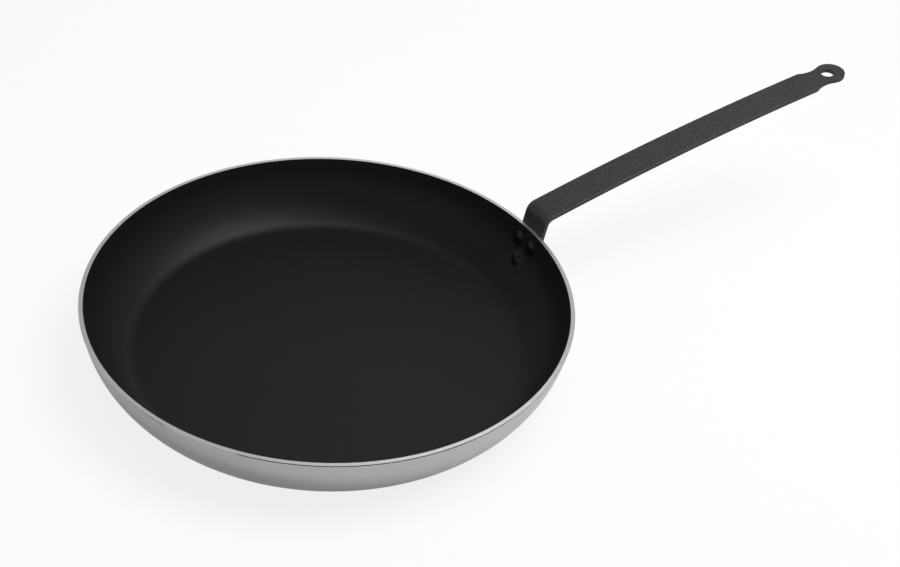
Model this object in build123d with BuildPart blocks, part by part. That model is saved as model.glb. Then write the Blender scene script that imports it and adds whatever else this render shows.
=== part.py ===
from build123d import *
import os
from math import atan2, cos, degrees, radians, sin, sqrt, tan

# An omelette pan: a pressed aluminium bowl with a coated inside and a bent steel strip for a handle,
# held by three rivets. Lengths are in millimetres and angles in degrees.
# The origin is on the pan's axis at the underside, +Z is up and the handle runs out along +X.

# Pan body: flat base, small corner arc, large wall arc, then a straight flared lip
rim_diameter = 400.0
wall_thickness = 3.5
lip_height = 10.9
lip_flare_angle = 11.0
wall_arc_radius = 70.0
wall_foot_angle = 38.0
corner_radius = 22.0
rim_chamfer = 0.5

# Coating on the inside, drawn thicker than the real film so that it is a solid of its own
coating_thickness = 0.25

# Handle strip, measured along its upper face
strip_width = 29.4
strip_thickness = 4.0
stem_length = 11.3
bend_radius = 10.4
bend_angle = 65.4
grip_length = 301.9
grip_bow_radius = 3010.0
strip_edge_radius = 0.6
foot_margin = 13.0
foot_corner_radius = 11.0

# Hanging eye at the far end of the strip
neck_length = 27.3
neck_angle = 30.3
shoulder_radius = 4.0
eye_radius = 13.9
eye_hole_radius = 6.0
eye_hole_setback = 3.2

# Rivets: two side by side under the rim and one below them
rivet_shank_radius = 3.0
rivet_hole_clearance = 0.1
rivet_pair_spacing = 18.0
rivet_upper_drop = 14.0
rivet_row_spacing = 18.4
rivet_head_radius = 6.4
rivet_head_height = 2.4
rivet_tail_radius = 5.0
rivet_tail_height = 1.8

# How far a cutting tool runs past what it cuts
overrun = 5.0

# Places on the bowl's section, worked out from the sizes above
rim_radius = rim_diameter / 2
wall_angle = 90 - wall_foot_angle - lip_flare_angle
lip_tilt = radians(lip_flare_angle)
lip_length = lip_height / cos(lip_tilt)
wall_centre_radius = rim_radius - lip_height * tan(lip_tilt) - wall_arc_radius * cos(lip_tilt)
arc_gap = wall_arc_radius - corner_radius
flat_radius = wall_centre_radius + arc_gap * sin(radians(wall_foot_angle))
wall_centre_height = corner_radius + arc_gap * cos(radians(wall_foot_angle))
rim_height = wall_centre_height - wall_arc_radius * sin(lip_tilt) + lip_height
wall_centre = (wall_centre_radius, wall_centre_height)
lined_thickness = wall_thickness + coating_thickness

# The strip touches the round wall along its two edges, so its middle is cut to the wall's curve
seat_depth = rim_radius - sqrt(rim_radius**2 - (strip_width / 2) ** 2)
foot_radius = wall_arc_radius - seat_depth
lower_drop = rivet_upper_drop + rivet_row_spacing
foot_drop = lower_drop + foot_margin
eye_reach = grip_length + neck_length


def wall_curve(depth):
    """Draw the bowl's line, from its axis out to the rim, this deep inside its outer face."""
    floor = Line((0, depth), (flat_radius, depth))
    corner = CenterArc((flat_radius, corner_radius), corner_radius - depth, -90, wall_foot_angle)
    wall = CenterArc(wall_centre, wall_arc_radius - depth, wall_foot_angle - 90, wall_angle)
    lip = Line(wall @ 1, (rim_radius - depth / cos(lip_tilt), rim_height))
    return floor @ 0, lip @ 1


def bowl_section(outer_depth, inner_depth):
    """Section of the bowl between two of its lines, standing on the axis."""
    with BuildSketch(Plane.XZ) as section:
        with BuildLine():
            outer_floor, outer_rim = wall_curve(outer_depth)
            inner_floor, inner_rim = wall_curve(inner_depth)
            Line(outer_rim, inner_rim)
            Line(outer_floor, inner_floor)
        make_face()
    return section.sketch


def seat_plane(drop, side=0):
    """Plane on the wall's outer face, a length down from the rim, that looks into the bowl."""
    past_lip = max(drop - lip_length, 0)
    on_lip = min(drop, lip_length)
    tilt = lip_tilt + past_lip / wall_arc_radius
    radius = rim_radius - on_lip * sin(lip_tilt) - wall_arc_radius * (cos(lip_tilt) - cos(tilt))
    level = rim_height - on_lip * cos(lip_tilt) + wall_arc_radius * (sin(lip_tilt) - sin(tilt))
    return Plane(origin=(radius, side, level), x_dir=(0, 1, 0), z_dir=(-cos(tilt), 0, sin(tilt)))


# Name of each rivet, how far down the wall it sits and how far to the side of the strip's middle
rivet_places = {
    "rivet_upper_left": (rivet_upper_drop, rivet_pair_spacing / 2),
    "rivet_upper_right": (rivet_upper_drop, -rivet_pair_spacing / 2),
    "rivet_lower": (lower_drop, 0),
}
rivet_planes = {name: seat_plane(drop, side) for name, (drop, side) in rivet_places.items()}


def drill_rivet_holes():
    """Cut the three rivet holes through the part in hand."""
    for plane in rivet_planes.values():
        with Locations(plane):
            Cylinder(
                rivet_shank_radius + rivet_hole_clearance,
                2 * (lined_thickness + strip_thickness + overrun),
                mode=Mode.SUBTRACT,
            )


os.makedirs("parts", exist_ok=True)

# Pressed bowl, one thickness all over, with its rim turned flat and its outer edge broken
with BuildPart() as pan_body:
    add(bowl_section(0, wall_thickness))
    revolve(axis=Axis.Z)
    rim_edges = pan_body.edges().filter_by(GeomType.CIRCLE).group_by(Axis.Z)[-1]
    chamfer(rim_edges.sort_by(SortBy.RADIUS)[-1], rim_chamfer)
    drill_rivet_holes()
pan_body.part.label = "pan_body"
export_step(pan_body.part, "parts/pan_body.step")

# Non-stick lining, bonded to the whole inside and level with the rim
with BuildPart() as nonstick_coating:
    add(bowl_section(wall_thickness, lined_thickness))
    revolve(axis=Axis.Z)
    drill_rivet_holes()
nonstick_coating.part.label = "nonstick_coating"
export_step(nonstick_coating.part, "parts/nonstick_coating.step")

# Space that the bowl takes up, carried on above the rim in line with the lip, to shape what seats on it
with BuildPart() as bowl_envelope:
    with BuildSketch(Plane.XZ):
        with BuildLine():
            axis_foot, envelope_rim = wall_curve(0)
            rise = stem_length + bend_radius
            envelope_top = rim_height + rise
            envelope_lip = Line(envelope_rim, (rim_radius + rise * tan(lip_tilt), envelope_top))
            Polyline(envelope_lip @ 1, (0, envelope_top), axis_foot)
        make_face()
    revolve(axis=Axis.Z)

# The wall with its lining, to shape the undersides of the rivets' inner heads
with BuildPart() as lined_wall:
    add(bowl_section(0, lined_thickness))
    revolve(axis=Axis.Z)

# Handle: a foot that follows the wall, a stem past the rim, a bend and a long slightly bowed grip
with BuildPart() as handle:
    with BuildSketch(Plane.XZ):
        with BuildLine():
            foot_angle = degrees((foot_drop - lip_length) / wall_arc_radius)
            foot = CenterArc(wall_centre, foot_radius, -lip_flare_angle - foot_angle, foot_angle)
            stem = PolarLine(foot @ 1, lip_length + stem_length, direction=foot % 1)
            bend = JernArc(stem @ 1, stem % 1, bend_radius, -bend_angle)
            grip_angle = degrees((eye_reach + eye_radius + overrun) / grip_bow_radius)
            grip = JernArc(bend @ 1, bend % 1, grip_bow_radius, -grip_angle)
            offset(amount=strip_thickness, side=Side.RIGHT)
        make_face()
    extrude(amount=strip_width, both=True)

    # Plane of the eye, on the grip's upper face, with its X axis along the strip
    grip_start = bend @ 1
    grip_leaves = bend % 1
    grip_slope = atan2(grip_leaves.Y, grip_leaves.X)
    eye_slope = grip_slope - eye_reach / grip_bow_radius
    eye_x = grip_start.X + grip_bow_radius * (sin(grip_slope) - sin(eye_slope))
    eye_z = grip_start.Y + grip_bow_radius * (cos(eye_slope) - cos(grip_slope))
    eye_plane = Plane(
        origin=(eye_x, 0, eye_z),
        x_dir=(cos(eye_slope), 0, sin(eye_slope)),
        z_dir=(-sin(eye_slope), 0, cos(eye_slope)),
    )

    # Outline of the whole strip seen from above: straight sides, two shoulders, a hollow neck and the eye
    half_width = strip_width / 2
    shoulder = Vector(-neck_length, half_width)
    inward = Vector(sin(radians(neck_angle)), cos(radians(neck_angle)))
    neck_radius = (shoulder.dot(shoulder) - eye_radius**2) / (2 * (eye_radius - shoulder.dot(inward)))
    neck_centre = shoulder + inward * neck_radius
    touch = neck_centre * (eye_radius / (neck_radius + eye_radius))
    with BuildSketch(eye_plane) as outline:
        with BuildLine():
            RadiusArc(shoulder, touch, -neck_radius)
            ThreePointArc(touch, (eye_radius, 0), (touch.X, -touch.Y))
            RadiusArc((touch.X, -touch.Y), (shoulder.X, -shoulder.Y), -neck_radius)
            Polyline(
                (shoulder.X, -shoulder.Y),
                (-eye_x, -half_width),
                (-eye_x, half_width),
                shoulder,
            )
        make_face()
        fillet(outline.vertices().group_by(Axis.X)[1], shoulder_radius)
    extrude(amount=eye_reach, both=True, mode=Mode.INTERSECT)

    # Round the foot's two lower corners
    end_faces = handle.faces().filter_by(GeomType.PLANE).filter_by(Axis.Y, reverse=True)
    foot_end = end_faces.sort_by(Axis.Z)[0]
    fillet(foot_end.edges().filter_by(Axis.Y, reverse=True), foot_corner_radius)

    # Break the long edges, then the hanging hole, the seat against the wall and the rivet holes
    lengthwise_edges = handle.edges().filter_by(Axis.Y, reverse=True)
    shortest = strip_thickness + strip_edge_radius
    fillet(lengthwise_edges.filter_by(lambda edge: edge.length > shortest), strip_edge_radius)
    with Locations(eye_plane):
        with Locations((-eye_hole_setback, 0)):
            Cylinder(eye_hole_radius, 2 * (strip_thickness + overrun), mode=Mode.SUBTRACT)
    add(bowl_envelope.part, mode=Mode.SUBTRACT)
    strip_blank = handle.part
    drill_rivet_holes()
handle.part.label = "handle"
export_step(handle.part, "parts/handle.step")


def domed_head(plane, radius, height, root):
    """Section of a round head that stands on a plane, with a root below it to be cut to its seat."""
    ball_radius = (radius**2 + height**2) / (2 * height)
    shoulder = (radius / 2, height - ball_radius + sqrt(ball_radius**2 - (radius / 2) ** 2))
    upright = Plane(origin=plane.origin, x_dir=plane.x_dir, z_dir=plane.x_dir.cross(plane.z_dir))
    with BuildSketch(upright) as section:
        with BuildLine():
            crown = ThreePointArc((0, height), shoulder, (radius, 0))
            Polyline(crown @ 1, (radius, -root), (0, -root), crown @ 0)
        make_face()
    return section.sketch


# Rivets: a domed head inside the bowl, a shank through lining, wall and strip, and a tail closed outside
for name, plane in rivet_planes.items():
    wall_reach = plane.origin.X
    side_rise = wall_reach - sqrt(wall_reach**2 - plane.origin.Y**2)
    inner_plane = plane.offset(lined_thickness + side_rise)
    outer_plane = Plane(
        origin=plane.origin - plane.z_dir * (strip_thickness - seat_depth),
        x_dir=plane.x_dir,
        z_dir=-plane.z_dir,
    )
    rivet_axis = Axis(origin=plane.origin, direction=plane.z_dir)
    grip_through = strip_thickness - seat_depth + lined_thickness + side_rise
    with BuildPart() as rivet:
        add(domed_head(inner_plane, rivet_head_radius, rivet_head_height, lined_thickness / 2))
        revolve(axis=rivet_axis)
        add(lined_wall.part, mode=Mode.SUBTRACT)
        add(domed_head(outer_plane, rivet_tail_radius, rivet_tail_height, strip_thickness / 2))
        revolve(axis=rivet_axis)
        add(strip_blank, mode=Mode.SUBTRACT)
        with Locations(outer_plane.offset(rivet_tail_height / 2)):
            Cylinder(
                rivet_shank_radius,
                rivet_tail_height / 2 + grip_through + rivet_head_height / 2,
                align=(Align.CENTER, Align.CENTER, Align.MAX),
            )
    rivet.part.label = name
    export_step(rivet.part, f"parts/{name}.step")
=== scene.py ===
import bmesh
import bpy
import numpy as np
from mathutils import Matrix, Vector


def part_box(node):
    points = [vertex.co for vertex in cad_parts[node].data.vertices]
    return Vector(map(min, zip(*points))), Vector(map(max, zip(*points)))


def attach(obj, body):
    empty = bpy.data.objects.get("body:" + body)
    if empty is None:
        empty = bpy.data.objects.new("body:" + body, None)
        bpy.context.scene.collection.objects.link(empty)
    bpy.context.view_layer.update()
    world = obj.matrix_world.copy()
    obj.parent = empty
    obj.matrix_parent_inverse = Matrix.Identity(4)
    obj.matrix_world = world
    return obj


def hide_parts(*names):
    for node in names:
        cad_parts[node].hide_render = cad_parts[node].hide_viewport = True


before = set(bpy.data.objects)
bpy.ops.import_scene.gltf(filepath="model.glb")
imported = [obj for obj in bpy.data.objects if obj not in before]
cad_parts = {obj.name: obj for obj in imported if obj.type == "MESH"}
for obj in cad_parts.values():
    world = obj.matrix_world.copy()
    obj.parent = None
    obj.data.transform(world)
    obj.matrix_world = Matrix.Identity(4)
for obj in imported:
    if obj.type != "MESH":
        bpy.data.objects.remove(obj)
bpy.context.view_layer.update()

# Bowl
# A disc of aluminium pressed to shape in one piece: a flat base, a tight corner arc, a large wall arc and a
# straight flared lip. Its rim is turned flat and its outer edge is broken on the lathe. The rim top is
# painted lighter than the wall, a painted highlight, and the broken edge darker, a painted dark reflection.
rim_radius = 0.2
rim_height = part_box("pan_body")[1].z
wall_thickness = 0.0035
lip_height = 0.0109
lip_flare = np.radians(11)
wall_arc_radius = 0.070
wall_foot_angle = np.radians(38)
corner_radius = 0.022
rim_chamfer = 0.0005

wall_top_angle = np.pi / 2 - lip_flare
wall_centre_radius = rim_radius - lip_height * np.tan(lip_flare) - wall_arc_radius * np.cos(lip_flare)
wall_centre_height = rim_height - lip_height + wall_arc_radius * np.sin(lip_flare)
flat_radius = wall_centre_radius + (wall_arc_radius - corner_radius) * np.sin(wall_foot_angle)


def bowl_line(depth, floor_steps=12, corner_steps=14, wall_steps=30, lip_steps=6):
    """The bowl's section this deep inside its outer face, from the axis out to the rim: a level floor, a
    corner arc and a wall arc, where a point is centre + radius (sin t, -cos t), and a straight lip."""
    corner = np.linspace(0, wall_foot_angle, corner_steps)
    wall = np.linspace(wall_foot_angle, wall_top_angle, wall_steps)[1:]
    floor_r = np.linspace(0, flat_radius, floor_steps)[:-1]
    corner_r = flat_radius + (corner_radius - depth) * np.sin(corner)
    corner_z = corner_radius - (corner_radius - depth) * np.cos(corner)
    wall_r = wall_centre_radius + (wall_arc_radius - depth) * np.sin(wall)
    wall_z = wall_centre_height - (wall_arc_radius - depth) * np.cos(wall)
    lip_r = np.linspace(wall_r[-1], rim_radius - depth / np.cos(lip_flare), lip_steps)[1:]
    lip_z = np.linspace(wall_z[-1], rim_height, lip_steps)[1:]
    radius = np.concatenate([floor_r, corner_r, wall_r, lip_r])
    height = np.concatenate([np.full_like(floor_r, depth), corner_z, wall_z, lip_z])
    return radius, height


def turned(radius, height, around=512):
    """A section turned round the Z axis: x = r cos a, y = r sin a, with a on whole turns of the circle.
    The section starts on the axis underneath and ends on the axis above."""
    angle = np.linspace(0, 2 * np.pi, around, endpoint=False)
    angle = np.append(angle, angle[0])
    x = np.outer(radius, np.cos(angle))
    y = np.outer(radius, np.sin(angle))
    return np.stack([x, y, np.outer(height, np.ones_like(angle))], axis=-1)


def skin(name, patches, sharp_angle=30):
    """One mesh from grids of points. Points that meet are joined, so seams and poles close, and a quad that
    loses a side there becomes a triangle. Then all faces are turned outwards. Sharp edges stay crisp."""
    points = np.concatenate([patch.reshape(-1, 3) for patch in patches])
    quads = []
    start = 0
    for patch in patches:
        rows, columns = patch.shape[:2]
        index = start + np.arange(rows * columns).reshape(rows, columns)
        sides = [index[:-1, :-1], index[:-1, 1:], index[1:, 1:], index[1:, :-1]]
        quads.append(np.stack(sides, axis=-1).reshape(-1, 4))
        start += rows * columns
    grid = np.round(points / 2e-7).astype(np.int64)
    _, first, joined = np.unique(grid, axis=0, return_index=True, return_inverse=True)
    quads = joined.reshape(-1)[np.concatenate(quads)]
    faces = []
    for side in range(4):
        lost = quads[:, side] == quads[:, (side + 1) % 4]
        faces += np.delete(quads[lost], side, axis=1).tolist()
        quads = quads[~lost]
    mesh = bpy.data.meshes.new(name)
    mesh.from_pydata(points[first], [], quads.tolist() + faces)
    shell = bmesh.new()
    shell.from_mesh(mesh)
    bmesh.ops.recalc_face_normals(shell, faces=shell.faces)
    shell.to_mesh(mesh)
    shell.free()
    mesh.shade_smooth()
    mesh.set_sharp_from_angle(angle=np.radians(sharp_angle))
    piece = bpy.data.objects.new(name, mesh)
    bpy.context.scene.collection.objects.link(piece)
    return piece


class Value:
    """A socket of a material's nodes. Sums written with it add Math nodes."""

    def __init__(self, finish, socket):
        self.finish = finish
        self.socket = socket

    def math(self, operation, *terms):
        return self.finish.node("ShaderNodeMath", {"operation": operation}, dict(enumerate(terms)))

    def __add__(self, other):
        return self.math("ADD", self, other)

    def __sub__(self, other):
        return self.math("SUBTRACT", self, other)

    def __rsub__(self, other):
        return self.math("SUBTRACT", other, self)

    def __mul__(self, other):
        return self.math("MULTIPLY", self, other)

    def __truediv__(self, other):
        return self.math("DIVIDE", self, other)

    def __pow__(self, other):
        return self.math("POWER", self, other)

    def sine(self):
        return self.math("SINE", self)

    def or_more(self, other):
        return self.math("MAXIMUM", self, other)

    __radd__ = __add__
    __rmul__ = __mul__


class Finish:
    """The nodes of a material, or of the air round the pan. node() adds one, with its settings first, then
    its values and links."""

    def __init__(self, owner):
        owner.use_nodes = True
        self.owner = owner
        self.tree = owner.node_tree
        self.tree.nodes.clear()

    def node(self, kind, settings=None, inputs=None, output=0):
        made = self.tree.nodes.new(kind)
        for setting, value in (settings or {}).items():
            setattr(made, setting, value)
        for socket, value in (inputs or {}).items():
            if isinstance(value, Value):
                self.tree.links.new(value.socket, made.inputs[socket])
            else:
                made.inputs[socket].default_value = value
        return Value(self, made.outputs[output]) if made.outputs else None

    def place(self):
        """The point on the piece, in metres from the origin."""
        return self.node("ShaderNodeTexCoord", output="Object")

    def parts(self, vector):
        """The three numbers of a vector."""
        return [self.node("ShaderNodeSeparateXYZ", inputs={"Vector": vector}, output=axis) for axis in "XYZ"]

    def vector(self, x, y, z):
        return self.node("ShaderNodeCombineXYZ", inputs={"X": x, "Y": y, "Z": z})

    def noise(self, vector, scale, detail=2, roughness=0.5):
        """Soft random variation from 0 to 1, with this many blots to the metre."""
        sizes = {"Vector": vector, "Scale": scale, "Detail": detail, "Roughness": roughness}
        return self.node("ShaderNodeTexNoise", inputs=sizes)

    def ramp(self, value, low, high, start=0.0, end=1.0):
        """Start below low, end above high, and an even slope between."""
        limits = {"Value": value, "From Min": low, "From Max": high, "To Min": start, "To Max": end}
        return self.node("ShaderNodeMapRange", {"clamp": True}, limits)

    def blend(self, share, first, second):
        """The first colour where share is 0 and the second where it is 1."""
        factor, first_colour, second_colour, result = 0, 6, 7, 2
        colours = {factor: share, first_colour: first, second_colour: second}
        return self.node("ShaderNodeMix", {"data_type": "RGBA"}, colours, result)

    def bump(self, height, distance, strength=1.0, under=None):
        """Relief of this depth in metres where height goes from 0 to 1."""
        sizes = {"Height": height, "Distance": distance, "Strength": strength}
        if under is not None:
            sizes["Normal"] = under
        return self.node("ShaderNodeBump", inputs=sizes)

    def close(self, inputs):
        """The surface itself, joined to the material's output."""
        surface = self.node("ShaderNodeBsdfPrincipled", inputs=inputs)
        self.node("ShaderNodeOutputMaterial", inputs={"Surface": surface})
        return self.owner


def grey(level):
    """A neutral colour of this strength."""
    return (level, level, level, 1)


outer_r, outer_z = bowl_line(0)
inner_r, inner_z = bowl_line(wall_thickness)
outer_r[-1] = rim_radius - rim_chamfer * np.tan(lip_flare)
outer_z[-1] = rim_height - rim_chamfer
rim_r = np.linspace(rim_radius - rim_chamfer, inner_r[-1], 5)[:-1]
bowl_r = np.concatenate([outer_r, rim_r, inner_r[::-1]])
bowl_z = np.concatenate([outer_z, np.full_like(rim_r, rim_height), inner_z[::-1]])
bowl = skin("bowl", [turned(bowl_r, bowl_z)])

# Its finish: fine brushed lines round the wall, turned rings on the rim and the base, and soft cloudy marks
satin = Finish(bpy.data.materials.new("satin_aluminium"))
# The rim top's tone is a painted highlight, lighter than the wall, and the broken edge's tone a painted dark
# reflection
wall_tone = 0.46
rim_highlight_tone = 0.88
edge_dark_reflection_tone = 0.32
wall_roughness = 0.36
rim_roughness = 0.32
edge_roughness = 0.08
rim_ring_pitch = 0.0005
base_ring_pitch = 0.0012
ring_depth = 0.00002
fine_lines_per_metre = 900
broad_lines_per_metre = 160
fine_line_breaks = 3
broad_line_breaks = 1.2
line_depth = 0.00004
fine_share = 0.7
clouds_per_metre = 14
fine_tone_spread = 0.04
broad_tone_spread = 0.05
cloud_tone_spread = 0.03
fine_rough_spread = 0.12
broad_rough_spread = 0.06
edge_band = 0.00004

x, y, z = satin.parts(satin.place())
reach = (x * x + y * y) ** 0.5
round_x = x / (reach + edge_band)
round_y = y / (reach + edge_band)
up_wall = reach + z
fine_up = up_wall * fine_lines_per_metre
broad_up = up_wall * broad_lines_per_metre
fine_run = satin.vector(round_x * fine_line_breaks, round_y * fine_line_breaks, fine_up)
broad_run = satin.vector(round_x * broad_line_breaks, round_y * broad_line_breaks, broad_up)
fine_lines = satin.noise(fine_run, 1, detail=3, roughness=0.6)
broad_lines = satin.noise(broad_run, 1)
cloud = satin.noise(satin.place(), clouds_per_metre)
on_top = satin.ramp(z, rim_height - edge_band, rim_height - edge_band / 2)
on_edge = satin.ramp(z, rim_height - rim_chamfer - edge_band, rim_height - rim_chamfer) * (1 - on_top)
on_base = satin.ramp(z, edge_band / 2, edge_band, 1.0, 0.0)
rim_rings = (reach * (2 * np.pi / rim_ring_pitch)).sine() * on_top
base_rings = (reach * (2 * np.pi / base_ring_pitch)).sine() * on_base
machined = on_top + on_edge
# Painted highlight on the rim top and painted dark reflection on the broken edge, laid over the wall's tone
tone = wall_tone + on_top * (rim_highlight_tone - wall_tone) + on_edge * (edge_dark_reflection_tone - wall_tone)
tone = tone + (broad_lines - 0.5) * broad_tone_spread + (fine_lines - 0.5) * fine_tone_spread
tone = tone + (cloud - 0.5) * cloud_tone_spread
rough = wall_roughness + on_top * (rim_roughness - wall_roughness)
rough = rough + on_edge * (edge_roughness - wall_roughness)
line_rough = (fine_lines - 0.5) * fine_rough_spread + (broad_lines - 0.5) * broad_rough_spread
rough = rough + line_rough * (1 - machined)
brushed_relief = satin.bump(fine_lines * fine_share + broad_lines * (1 - fine_share), line_depth)
turned_relief = satin.bump((rim_rings + base_rings) / 2, ring_depth, under=brushed_relief)
bowl.data.materials.append(
    satin.close({
        "Base Color": satin.blend(tone, grey(0.0), grey(1.0)),
        "Metallic": 1.0,
        "Roughness": rough,
        "Normal": turned_relief,
    })
)
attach(bowl, "root")
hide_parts("pan_body")

# Non-stick lining
# A sprayed and baked film of black non-stick over the whole inside, level with the rim, where it was
# turned off with the metal. It has a faint orange peel and a soft sheen, and no seam.
lining_thickness = 0.00025

under_r, under_z = bowl_line(wall_thickness)
over_r, over_z = bowl_line(wall_thickness + lining_thickness)
lining_r = np.concatenate([under_r, over_r[::-1]])
lining_z = np.concatenate([under_z, over_z[::-1]])
lining = skin("lining", [turned(lining_r, lining_z)])

# Its finish: nearly black, with a faint peel from the spraying and slow drifts of sheen
black_film = Finish(bpy.data.materials.new("nonstick_film"))
film_dark = 0.004
film_light = 0.006
film_roughness = 0.50
film_gloss = 0.23

peels_per_metre = 900
specks_per_metre = 2600
drifts_per_metre = 9
peel_share = 0.6
peel_depth = 0.00002
drift_rough_spread = 0.05
speck_rough_spread = 0.06

spot = black_film.place()
peel = black_film.noise(spot, peels_per_metre)
speck = black_film.noise(spot, specks_per_metre, detail=1)
drift = black_film.noise(spot, drifts_per_metre)
film_rough = film_roughness + (drift - 0.5) * drift_rough_spread + (speck - 0.5) * speck_rough_spread
lining.data.materials.append(
    black_film.close({
        "Base Color": black_film.blend(drift, grey(film_dark), grey(film_light)),
        "Roughness": film_rough,
        "Specular IOR Level": film_gloss,
        "Normal": black_film.bump(peel * peel_share + speck * (1 - peel_share), peel_depth),
    })
)
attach(lining, "root")
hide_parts("nonstick_coating")

# Handle strip
# One length of steel strip, sheared to outline and punched with a hanging hole at its end, then bent: a foot
# that lies on the wall, a short stem, a tight bend and a long grip with a slight bow. It is coated in
# textured black epoxy powder, and three rivets hold it.
strip_width = 0.0294
strip_thickness = 0.004
strip_edge_radius = 0.0006
stem_length = 0.0113
bend_radius = 0.0104
bend_angle = np.radians(65.4)
grip_length = 0.3019
grip_bow_radius = 3.010
foot_margin = 0.013
foot_corner_radius = 0.011
neck_length = 0.0273
neck_angle = np.radians(30.3)
shoulder_radius = 0.004
eye_radius = 0.0139
eye_hole_radius = 0.006
eye_hole_setback = 0.0032
rivet_upper_drop = 0.014
rivet_row_spacing = 0.0184

half_width = strip_width / 2
seat_depth = rim_radius - np.sqrt(rim_radius**2 - half_width**2)
lip_length = lip_height / np.cos(lip_flare)
foot_arc_radius = wall_arc_radius - seat_depth
foot_turn = (rivet_upper_drop + rivet_row_spacing + foot_margin - lip_length) / wall_arc_radius
foot_run = foot_turn * foot_arc_radius
bend_start = foot_run + lip_length + stem_length
grip_start = bend_start + bend_radius * bend_angle
eye_run = grip_start + grip_length + neck_length
strip_run = eye_run + eye_radius
path_steps = 8001


def strip_path(run):
    """The line of the strip's upper face, this far along it from the foot: its heading turns evenly on each
    stretch, and the line is the running sum of the heading's cosine and sine. Gives x, z and heading."""
    foot_heading = wall_top_angle - foot_turn
    stretch_ends = [0, foot_run, bend_start, grip_start, strip_run]
    grip_heading = wall_top_angle - bend_angle
    end_heading = grip_heading - (strip_run - grip_start) / grip_bow_radius
    headings = [foot_heading, wall_top_angle, wall_top_angle, grip_heading, end_heading]
    fine = np.linspace(0, strip_run, path_steps)
    turn = np.interp((fine[1:] + fine[:-1]) / 2, stretch_ends, headings)
    step = np.diff(fine)
    x = wall_centre_radius + foot_arc_radius * np.sin(foot_heading)
    z = wall_centre_height - foot_arc_radius * np.cos(foot_heading)
    line_x = x + np.append(0, np.cumsum(np.cos(turn) * step))
    line_z = z + np.append(0, np.cumsum(np.sin(turn) * step))
    heading = np.interp(run, stretch_ends, headings)
    return np.interp(run, fine, line_x), np.interp(run, fine, line_z), heading


def bent(flat):
    """Flat strip, as (along, across, depth), laid on its bent line: the line's point, plus across along Y,
    plus depth square to the heading. On the foot and stem the face is dished to the round wall."""
    run, across, depth = np.moveaxis(flat, -1, 0)
    x, z, heading = strip_path(run)
    dish = seat_depth - rim_radius + np.sqrt(rim_radius**2 - across**2)
    dish = dish * np.interp(run, [bend_start - stem_length / 2, grip_start], [1, 0])
    depth = depth + dish * (1 - depth / strip_thickness)
    return np.stack([x + depth * np.sin(heading), across, z - depth * np.cos(heading)], axis=-1)


def arc(centre, radius, start, end, steps, hollow=False):
    """Points of an arc, centre + radius (cos t, sin t), with the outward direction at each. A hollow arc
    bulges into the material, so outward is towards its centre."""
    angle = np.linspace(start, end, steps)
    ray = np.stack([np.cos(angle), np.sin(angle)], axis=-1)
    return centre + radius * ray, -ray if hollow else ray


def edged(outline, outward, inset, depth):
    """The outline moved in by inset, at this depth, as flat strip points."""
    inner = outline - outward * inset
    return np.concatenate([inner, np.full((len(inner), 1), depth)], axis=1)


face_inset_share = 1.6
roll_steps = 6
face_inset = strip_edge_radius * face_inset_share
roll = np.linspace(0, np.pi / 2, roll_steps)
edge_insets = strip_edge_radius * (1 - np.sin(roll))
edge_depths = strip_edge_radius * (1 - np.cos(roll))
edge_insets = np.concatenate([[face_inset], edge_insets, edge_insets[::-1], [face_inset]])
edge_depths = np.concatenate([[0], edge_depths, strip_thickness - edge_depths[::-1], [strip_thickness]])

# Outline of the eye end, measured from the eye's centre, from the cut across the strip round to the tip
eye_cut_margin = 0.006
fillet_steps = 7
neck_steps = 26
tip_steps = 30
shoulder = np.array([-neck_length, half_width])
inward = np.array([np.sin(neck_angle), np.cos(neck_angle)])
neck_radius = (shoulder @ shoulder - eye_radius**2) / (2 * (eye_radius - shoulder @ inward))
neck_centre = shoulder + inward * neck_radius
fillet_y = half_width - shoulder_radius
fillet_reach = neck_radius + shoulder_radius
fillet_x = neck_centre[0] - np.sqrt(fillet_reach**2 - (neck_centre[1] - fillet_y) ** 2)
fillet_centre = np.array([fillet_x, fillet_y])
fillet_end = np.arctan2(*(neck_centre - fillet_centre)[::-1])
neck_end = np.arctan2(neck_centre[1], neck_centre[0])
eye_cut = fillet_x - eye_cut_margin
cut_columns = 12

straight = np.linspace([eye_cut, half_width], [fillet_x, half_width], 4)
straight_out = np.tile([0.0, 1.0], (4, 1))
fillet_arc, fillet_out = arc(fillet_centre, shoulder_radius, np.pi / 2, fillet_end, fillet_steps)
neck_turn = (fillet_end - np.pi, neck_end - np.pi)
neck_arc, neck_out = arc(neck_centre, neck_radius, *neck_turn, neck_steps, hollow=True)
tip_arc, tip_out = arc(np.zeros(2), eye_radius, neck_end, 0, tip_steps)
side = np.concatenate([straight, fillet_arc[1:], neck_arc[1:], tip_arc[1:]])
side_out = np.concatenate([straight_out, fillet_out[1:], neck_out[1:], tip_out[1:]])
flip = np.array([1, -1])
end_outline = np.concatenate([side, side[-2::-1] * flip]) + [eye_run, 0]
end_outward = np.concatenate([side_out, side_out[-2::-1] * flip])

# Outline of the foot end: the two rounded corners and the short edge between them
foot_cut_margin = 0.004
foot_corner_steps = 14
corner_y = half_width - foot_corner_radius
foot_cut = foot_corner_radius + foot_cut_margin
foot_corner = np.array([foot_corner_radius, corner_y])
foot_side, foot_side_out = arc(foot_corner, foot_corner_radius, np.pi / 2, np.pi, foot_corner_steps)
foot_straight = np.linspace([foot_cut, half_width], [foot_corner_radius, half_width], 3)
foot_edge = np.linspace([0.0, corner_y], [0.0, 0.0], 3)
foot_half = np.concatenate([foot_straight, foot_side[1:], foot_edge[1:]])
foot_straight_out = np.tile([0.0, 1.0], (3, 1))
foot_edge_out = np.tile([-1.0, 0.0], (2, 1))
foot_half_out = np.concatenate([foot_straight_out, foot_side_out[1:], foot_edge_out])
foot_outline = np.concatenate([foot_half, foot_half[-2::-1] * flip])
foot_outward = np.concatenate([foot_half_out, foot_half_out[-2::-1] * flip])


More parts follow.
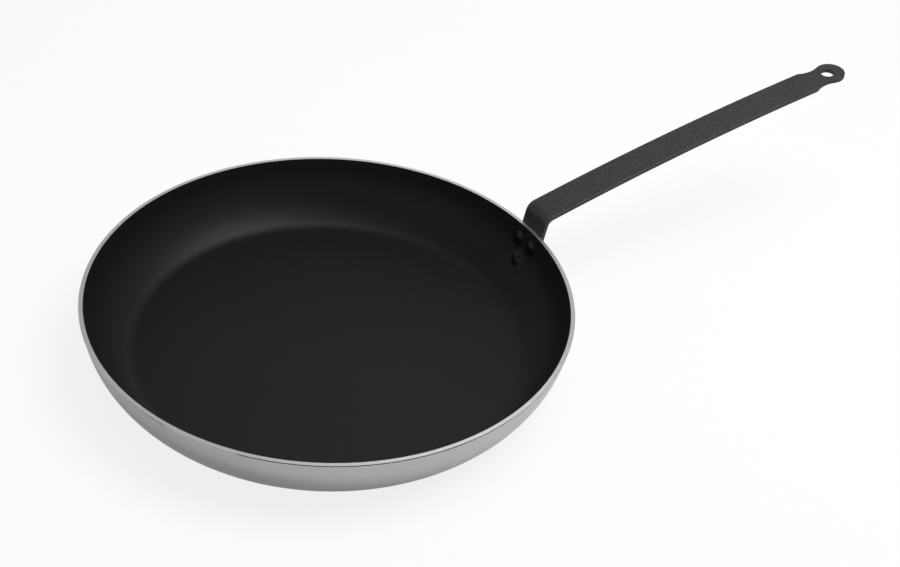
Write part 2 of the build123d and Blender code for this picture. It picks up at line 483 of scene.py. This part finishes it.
def end_faces(outline, outward, cut_run, centre, hole_radius, rings):
    """Both faces of one end of the strip as rings of straight rays, from a hole, or a point, out to the
    outline and to the cut across the strip. Also gives the rays' directions."""
    rim = edged(outline, outward, face_inset, 0)
    across = np.linspace(rim[-1, 1], rim[0, 1], cut_columns + 1)[1:]
    cut = np.stack([np.full_like(across, cut_run), across, np.zeros_like(across)], axis=-1)
    loop = np.concatenate([rim, cut])
    ray = loop[:, :2] - centre
    ray = ray / np.linalg.norm(ray, axis=1, keepdims=True)
    start = edged(centre + ray * hole_radius, -ray, face_inset if hole_radius else 0, 0)
    share = np.linspace(0, 1, rings)[:, None, None]
    upper = start * (1 - share) + loop * share
    lower = upper + [0, 0, strip_thickness]
    return upper, lower, ray


eye_rings = 9
foot_rings = 8
hole_centre = np.array([eye_run - eye_hole_setback, 0])
foot_centre = np.array([foot_corner_radius, 0])
eye_start = eye_run + eye_cut
eye_faces = end_faces(end_outline, end_outward, eye_start, hole_centre, eye_hole_radius, eye_rings)
foot_faces = end_faces(foot_outline, foot_outward, foot_cut, foot_centre, 0.0, foot_rings)
eye_upper, eye_lower, hole_ray = eye_faces
foot_upper, foot_lower, _ = foot_faces

# Long middle of the strip, closer steps where it bends
foot_steps = 14
stem_steps = 12
bend_steps = 22
grip_steps = 90
stretches = [
    np.linspace(foot_cut, foot_run, foot_steps)[:-1],
    np.linspace(foot_run, bend_start, stem_steps)[:-1],
    np.linspace(bend_start, grip_start, bend_steps)[:-1],
    np.linspace(grip_start, eye_start, grip_steps),
]
run = np.concatenate(stretches)
face_half = half_width - face_inset
columns = np.linspace(-face_half, face_half, cut_columns + 1)
middle_upper = np.stack(np.meshgrid(run, columns, [0.0], indexing="ij"), axis=-1)[:, :, 0]
middle_lower = middle_upper + [0, 0, strip_thickness]


def rolled_edge(outline, outward):
    """The edge's section, two quarter rounds and a flat, carried along an outline."""
    return np.stack([edged(outline, outward, *at) for at in zip(edge_insets, edge_depths)])


middle_edge = np.stack([run, np.full_like(run, half_width)], axis=-1)
middle_outward = np.tile([0.0, 1.0], (len(run), 1))
hole_outline = hole_centre + hole_ray * eye_hole_radius
flat_patches = [
    middle_upper,
    middle_lower,
    eye_upper,
    eye_lower,
    foot_upper,
    foot_lower,
    rolled_edge(middle_edge, middle_outward),
    rolled_edge(middle_edge * flip, middle_outward * flip),
    rolled_edge(end_outline, end_outward),
    rolled_edge(foot_outline, foot_outward),
    rolled_edge(hole_outline, -hole_ray),
]
strip = skin("strip_handle", [bent(patch) for patch in flat_patches])

# Its finish: a matt powder coat that flowed into fine pebbles, the highest of them a little smoother and
# painted lighter, a painted highlight
epoxy = Finish(bpy.data.materials.new("textured_black_epoxy"))
epoxy_dark = 0.002
epoxy_light = 0.044
epoxy_roughness = 0.56
epoxy_gloss = 0.41
# A painted highlight on the edge rounds: a lighter tone there, with a smoother rubbed coat
edge_highlight_tone = 0.05
rubbed_roughness = 0.38

edge_highlight_share = 0.6
pebbles_per_metre = 950
grains_per_metre = 2200
flows_per_metre = 60
pebble_foot = 0.42
pebble_top = 0.59
pebble_share = 0.7
pebble_depth = 0.0004
crest_highlight_share = 0.85
crest_polish = 0.06
flow_rough_spread = 0.08

# The edge rounds are painted lighter, a painted highlight, and the coat there is rubbed smoother, at these
# shares of the round's radius in from the side
round_band_start_share = 1.2
round_band_full_share = 0.6
round_band_end_share = 0.3
round_band_start = half_width - strip_edge_radius * round_band_start_share
round_band_full = half_width - strip_edge_radius * round_band_full_share
round_band_end = half_width - strip_edge_radius * round_band_end_share

spot = epoxy.place()
pebbles = epoxy.noise(spot, pebbles_per_metre, roughness=0.55)
grains = epoxy.noise(spot, grains_per_metre, roughness=0.6)
flow = epoxy.noise(spot, flows_per_metre)
crest = epoxy.ramp(pebbles, pebble_foot, pebble_top)
_, y, _ = epoxy.parts(spot)
across = (y * y) ** 0.5
# Band of the edge rounds: painted highlight in the colour, smoother coat in the roughness
rubbed_and_highlit = epoxy.ramp(across, round_band_start, round_band_full) * epoxy.ramp(across, round_band_end, half_width, 1.0, 0.0)
# The pebble crests are painted lighter, a painted highlight; the slow flow adds a random tone
tone = crest * crest_highlight_share + flow * (1 - crest_highlight_share)
coat_tone = epoxy.blend(tone, grey(epoxy_dark), grey(epoxy_light))
coat_roughness = epoxy_roughness + (flow - 0.5) * flow_rough_spread - crest * crest_polish
strip.data.materials.append(
    epoxy.close({
        "Base Color": epoxy.blend(rubbed_and_highlit * edge_highlight_share, coat_tone, grey(edge_highlight_tone)),
        "Roughness": coat_roughness - rubbed_and_highlit * (epoxy_roughness - rubbed_roughness),
        "Specular IOR Level": epoxy_gloss,
        "Normal": epoxy.bump(pebbles * pebble_share + grains * (1 - pebble_share), pebble_depth),
    })
)
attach(strip, "root")
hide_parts("handle")

# Rivets
# Three aluminium rivets go through the lining, the wall and the strip. Their domed heads inside were sprayed
# with the lining, which fills the corner round each head, and their tails outside are closed bare.
rivet_pair_spacing = 0.018
rivet_shank_radius = 0.003
rivet_head_height = 0.0019
rivet_spread = 0.0082
rivet_tail_radius = 0.005
rivet_tail_height = 0.0018
rivet_root = 0.0005
lined_thickness = wall_thickness + lining_thickness
rivet_places = {
    "rivet_upper_left": (rivet_upper_drop, rivet_pair_spacing / 2),
    "rivet_upper_right": (rivet_upper_drop, -rivet_pair_spacing / 2),
    "rivet_lower": (rivet_upper_drop + rivet_row_spacing, 0.0),
}
film_steps = 800
film_r, film_z = bowl_line(lined_thickness, floor_steps=1, wall_steps=film_steps)


def dome(radius, height, steps=12):
    """A ball's cap of this radius and height: level above its seat at each distance from its axis."""
    ball = (radius**2 + height**2) / (2 * height)
    reach = radius * np.sin(np.linspace(0, np.pi / 2, steps))
    return reach, height - ball + np.sqrt(ball**2 - reach**2)


def sprayed_head(steps=22):
    """The head under its film: a half wave of the cosine, from the crown down to where it runs out."""
    reach = rivet_spread * np.linspace(0, 1, steps)
    return reach, rivet_head_height * (1 + np.cos(np.pi * reach / rivet_spread)) / 2


def rivet(name, drop, side):
    """A turned rivet on its own axis: tail, shank and head in one section. The head's side is then laid on
    the curved wall, moved along the axis by as much as the film there stands inward of the flat seat."""
    past_lip = max(drop - lip_length, 0)
    on_lip = min(drop, lip_length)
    tilt = lip_flare + past_lip / wall_arc_radius
    seat_r = rim_radius - on_lip * np.sin(lip_flare) - wall_arc_radius * (np.cos(lip_flare) - np.cos(tilt))
    seat_z = rim_height - on_lip * np.cos(lip_flare) + wall_arc_radius * (np.sin(lip_flare) - np.sin(tilt))
    inward_axis = np.array([-np.cos(tilt), 0, np.sin(tilt)])
    up_axis = np.array([np.sin(tilt), 0, np.cos(tilt)])
    side_rise = seat_r - np.sqrt(seat_r**2 - side**2)
    head_level = lined_thickness + side_rise
    tail_level = seat_depth - strip_thickness

    head_r, head_h = sprayed_head()
    tail_r, tail_h = dome(rivet_tail_radius, rivet_tail_height)
    shank_r = [rivet_tail_radius, rivet_shank_radius, rivet_shank_radius, rivet_spread]
    shank_h = [tail_level + rivet_root] * 2 + [head_level - rivet_root] * 2
    section_r = np.concatenate([tail_r, shank_r, head_r[::-1]])
    section_h = np.concatenate([tail_level - tail_h, shank_h, head_level + head_h[::-1]])
    across, up, level = np.moveaxis(turned(section_r, section_h, around=96), -1, 0)
    seat_point_r = np.hypot(seat_r - head_level * np.cos(tilt) + up * np.sin(tilt), side + across)
    seat_point_z = seat_z + head_level * np.sin(tilt) + up * np.cos(tilt)
    drape = (seat_point_r - np.interp(seat_point_z, film_z, film_r)) * np.cos(tilt)
    level = level + drape * (level > head_level - 2 * rivet_root)
    points = np.array([seat_r, side, seat_z]) + across[..., None] * [0, 1, 0]
    points = points + up[..., None] * up_axis + level[..., None] * inward_axis
    return skin(name, [points])


# Their finish, one for both ends: film on the inside of the wall, bare peened metal outside it
rivet_finish = Finish(bpy.data.materials.new("rivet_finish"))
bare_dark = 0.40
bare_light = 0.56
bare_roughness = 0.33
pooled_roughness = 0.36
mask_step = 0.0005
scuffs_per_metre = 260
scuff_rough_spread = 0.08

spot = rivet_finish.place()
x, y, z = rivet_finish.parts(spot)
reach = (x * x + y * y) ** 0.5
from_arc_r = reach - wall_centre_radius
from_arc_z = z - wall_centre_height
from_arc = (from_arc_r * from_arc_r + from_arc_z * from_arc_z) ** 0.5
wall_middle = wall_arc_radius - wall_thickness / 2
filmed = rivet_finish.ramp(from_arc, wall_middle - mask_step, wall_middle + mask_step, 1.0, 0.0)
peel = rivet_finish.noise(spot, peels_per_metre)
scuff = rivet_finish.noise(spot, scuffs_per_metre, detail=3, roughness=0.6)
bare_colour = rivet_finish.blend(scuff, grey(bare_dark), grey(bare_light))
film_colour = rivet_finish.blend(scuff, grey(film_dark), grey(film_light))
end_roughness = bare_roughness + filmed * (pooled_roughness - bare_roughness)
rivet_finish.close({
    "Base Color": rivet_finish.blend(filmed, bare_colour, film_colour),
    "Metallic": 1 - filmed,
    "Roughness": end_roughness + (scuff - 0.5) * scuff_rough_spread,
    "Specular IOR Level": film_gloss,
    "Normal": rivet_finish.bump(peel, peel_depth),
})
for node, (drop, side) in rivet_places.items():
    piece = rivet(node.replace("rivet_", "") + "_rivet", drop, side)
    piece.data.materials.append(rivet_finish.owner)
    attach(piece, "root")
    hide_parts(node)

# Studio
# The pan stands on a pale sheet in a plain studio, with soft boxes round it. The sheet glows to the eye, and
# less in the metal, so that it stays nearly white and still holds the pan's soft shadow.
floor_size = 12.0
floor_drop = 0.0002
glow_to_eye = 0.82
glow_in_metal = 0.2
floor_tone_low = 0.91
floor_tone_high = 0.94
mottles_per_metre = 3

ends = np.array([-floor_size / 2, floor_size / 2])
floor_grid = np.stack(np.meshgrid(ends, ends, [-floor_drop], indexing="ij"), axis=-1)[:, :, 0]
floor = skin("floor", [floor_grid])
pale = Finish(bpy.data.materials.new("pale_floor"))
mottle = pale.noise(pale.place(), mottles_per_metre)
sheet_colour = pale.blend(mottle, grey(floor_tone_low), grey(floor_tone_high))
sheet = pale.node("ShaderNodeBsdfDiffuse", inputs={"Color": sheet_colour})
glow = pale.node("ShaderNodeEmission", inputs={"Color": grey(1.0), "Strength": 1.0})


def seen_rays(finish, straight=1.0, mirrored=1.0):
    """One share for what the eye sees straight or through glass, one for what it sees mirrored, and 0 for
    the light that is shed."""
    rays = ("Is Camera Ray", "Is Transmission Ray", "Is Glossy Ray")
    camera, through, glossy = (finish.node("ShaderNodeLightPath", output=ray) for ray in rays)
    return (camera.or_more(through) * straight).or_more(glossy * mirrored)


glow_share = seen_rays(pale, glow_to_eye, glow_in_metal)
lit_sheet = pale.node("ShaderNodeMixShader", inputs={0: glow_share, 1: sheet, 2: glow})
pale.node("ShaderNodeOutputMaterial", inputs={"Surface": lit_sheet})
floor.data.materials.append(pale.owner)

# Camera, from the outline of the rim and the strip in the photograph: the way it looks, how far it is from
# the middle of the rim, and how far it stands to the side of the line through that point.
view_azimuth = np.radians(-35.51)
view_elevation = np.radians(37.62)
view_roll = np.radians(5.73)
view_distance = 1.2
view_offset = (0.09699, 0.00649)
focal_pixels = 1475.26
photo_width_pixels = 900
sensor_width = 36.0
nearest_seen = 0.05
farthest_seen = 50

back = Vector((
    np.sin(view_azimuth) * np.cos(view_elevation),
    -np.cos(view_azimuth) * np.cos(view_elevation),
    np.sin(view_elevation),
))
level_right = Vector((np.cos(view_azimuth), np.sin(view_azimuth), 0))
level_up = back.cross(level_right)
right = level_right * np.cos(view_roll) + level_up * np.sin(view_roll)
up = level_up * np.cos(view_roll) - level_right * np.sin(view_roll)
stand = Vector((0, 0, rim_height)) + back * view_distance + right * view_offset[0] + up * view_offset[1]
lens = bpy.data.cameras.new("camera")
lens.sensor_width = sensor_width
lens.lens = focal_pixels / photo_width_pixels * sensor_width
lens.clip_start = nearest_seen
lens.clip_end = farthest_seen
camera = bpy.data.objects.new("camera", lens)
camera.matrix_world = Matrix.Translation(stand) @ Matrix((right, up, back)).transposed().to_4x4()
bpy.context.scene.collection.objects.link(camera)
bpy.context.scene.camera = camera


def soft_box(name, azimuth, elevation, distance, size, power):
    """A square area lamp that faces the pan, by the compass angle from +X and the height in degrees."""
    turn, height = np.radians([azimuth, elevation])
    aim = Vector((np.cos(turn) * np.cos(height), np.sin(turn) * np.cos(height), np.sin(height)))
    light = bpy.data.lights.new(name, "AREA")
    light.shape = "SQUARE"
    light.size = size
    light.energy = power
    lamp = bpy.data.objects.new(name, light)
    lamp.location = aim * distance
    lamp.rotation_euler = aim.to_track_quat("Z", "Y").to_euler()
    bpy.context.scene.collection.objects.link(lamp)


# Azimuth and elevation in degrees, distance and size in metres, and power in watts
soft_boxes = {
    "main_soft_box": (325, 62, 2.0, 1.0, 22),
    "right_soft_box": (10, 62, 2.0, 1.0, 6),
    "overhead_soft_box": (0, 90, 2.0, 1.0, 5),
    "left_soft_box": (190, 35, 2.0, 1.0, 2.5),
    "back_soft_box": (95, 35, 2.2, 2.4, 4),
    "low_soft_box": (50, 26, 2.0, 1.0, 1.2),
}
for name, setting in soft_boxes.items():
    soft_box(name, *setting)

# Air of the studio: white to a little above the pan, dark overhead, and a plain grey for the light it sheds
shed_light = 0.2
overhead_tone = 0.08
white_up_to = 0.22
dark_from = 0.42

air = Finish(bpy.data.worlds.new("studio"))
bpy.context.scene.world = air.owner
_, _, height = air.parts(air.node("ShaderNodeTexCoord", output="Generated"))
dome_tone = air.ramp(height, white_up_to, dark_from, 1.0, overhead_tone)
shown_colour = air.blend(dome_tone, grey(0.0), grey(1.0))
shown = air.node("ShaderNodeBackground", inputs={"Color": shown_colour, "Strength": 1.0})
shed = air.node("ShaderNodeBackground", inputs={"Color": grey(1.0), "Strength": shed_light})
mixed = air.node("ShaderNodeMixShader", inputs={0: seen_rays(air), 1: shed, 2: shown})
air.node("ShaderNodeOutputWorld", inputs={"Surface": mixed})

bpy.context.scene.view_settings.view_transform = "Standard"
